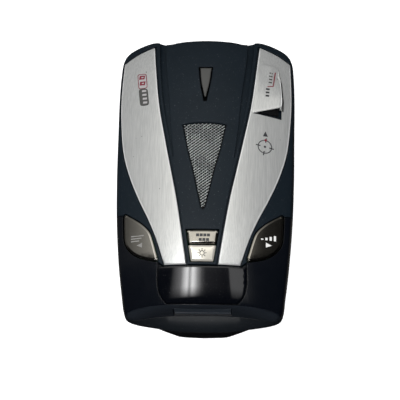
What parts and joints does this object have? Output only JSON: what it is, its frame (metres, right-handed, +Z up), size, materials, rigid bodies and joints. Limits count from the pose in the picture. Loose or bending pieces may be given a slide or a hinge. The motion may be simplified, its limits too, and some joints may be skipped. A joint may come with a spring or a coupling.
{
  "type": "radar detector",
  "caption": "Windscreen radar and laser detector with silver side wings, chrome keys, a bracket-release button and its internals.",
  "frame": {"origin": "on the base, under the middle of the bounding box", "axes": "+X right, +Y towards the road (front, bracket slot), +Z up; the display looks to -Y"},
  "size_m": [0.0696, 0.1162, 0.0315],
  "materials": {
    "soft_black": "matte",
    "gloss_black": "gloss",
    "brushed_silver": "brushed",
    "chrome": "polished",
    "grille_metal": "satin",
    "grey_plastic": "satin",
    "smoked_lens": "gloss",
    "board_green": "satin",
    "cast_metal": "cast",
    "tin_plate": "satin",
    "component_black": "satin",
    "paper_cone": "matte",
    "ferrite": "matte",
    "zinc_screw": "zinc plated",
    "label_film": "satin",
    "flex_amber": "gloss"
  },
  "bodies": {
    "housing": {"upper_case": "soft_black", "lower_case": "soft_black", "rear_bezel": "gloss_black", "left_wing": "brushed_silver", "right_wing": "brushed_silver", "rear_laser_lens": "smoked_lens", "rear_laser_sensor": "component_black", "speaker_grille": "grille_metal", "display_shield": "gloss_black", "display_window": "smoked_lens", "front_lens": "smoked_lens", "mute_switch": "component_black", "city_switch": "component_black", "save_switch": "component_black", "dim_switch": "component_black", "release_spring": "zinc_screw", "bracket_guide": "component_black", "power_jack": "component_black", "main_board": "board_green", "horn_antenna": "cast_metal", "speaker_frame": "tin_plate", "speaker_cone": "paper_cone", "speaker_magnet": "ferrite", "speaker_gasket": "component_black", "rf_shield": "tin_plate", "mixer_lid": "tin_plate", "processor_chip": "component_black", "memory_chip": "component_black", "crystal_can": "tin_plate", "filter_capacitor": "tin_plate", "supply_coil": "component_black", "volume_control": "component_black", "front_laser_sensor": "component_black", "front_sensor_bracket": "grey_plastic", "display_module": "component_black", "display_flex": "flex_amber", "case_screw_1": "zinc_screw", "case_screw_2": "zinc_screw", "case_screw_3": "zinc_screw", "case_screw_4": "zinc_screw", "board_screw_1": "zinc_screw", "board_screw_2": "zinc_screw", "board_screw_3": "zinc_screw", "board_screw_4": "zinc_screw", "rating_label": "label_film"},
    "mute_key": {"mute_button": "chrome", "mute_plunger": "grey_plastic"},
    "city_key": {"city_button": "chrome", "city_plunger": "grey_plastic"},
    "save_key": {"save_button": "chrome", "save_plunger": "grey_plastic"},
    "dim_key": {"dim_button": "chrome", "dim_plunger": "grey_plastic"},
    "release": {"release_button": "grey_plastic"},
    "volume": {"volume_wheel": "grey_plastic"}
  },
  "joints": [
    {"name": "mute_press", "type": "slide", "parent": "housing", "child": "mute_key", "axis": [0, 0, -1], "range_m": [0, 0.0006], "stiffness_N_per_m": 1500},
    {"name": "city_press", "type": "slide", "parent": "housing", "child": "city_key", "axis": [0, 0, -1], "range_m": [0, 0.0006], "stiffness_N_per_m": 1500},
    {"name": "save_press", "type": "slide", "parent": "housing", "child": "save_key", "axis": [0, 0, -1], "range_m": [0, 0.0006], "stiffness_N_per_m": 1500},
    {"name": "dim_press", "type": "slide", "parent": "housing", "child": "dim_key", "axis": [0, 0, -1], "range_m": [0, 0.0006], "stiffness_N_per_m": 1500},
    {"name": "bracket_release", "type": "slide", "parent": "housing", "child": "release", "axis": [0, 0, -1], "range_m": [0, 0.0016], "stiffness_N_per_m": 800, "deforming": ["release_spring"]},
    {"name": "volume_turn", "type": "hinge", "parent": "housing", "child": "volume", "pos_m": [-0.0279, -0.007, 0.0119], "axis": [0, 0, 1], "range_deg": [0, 280]}
  ]
}
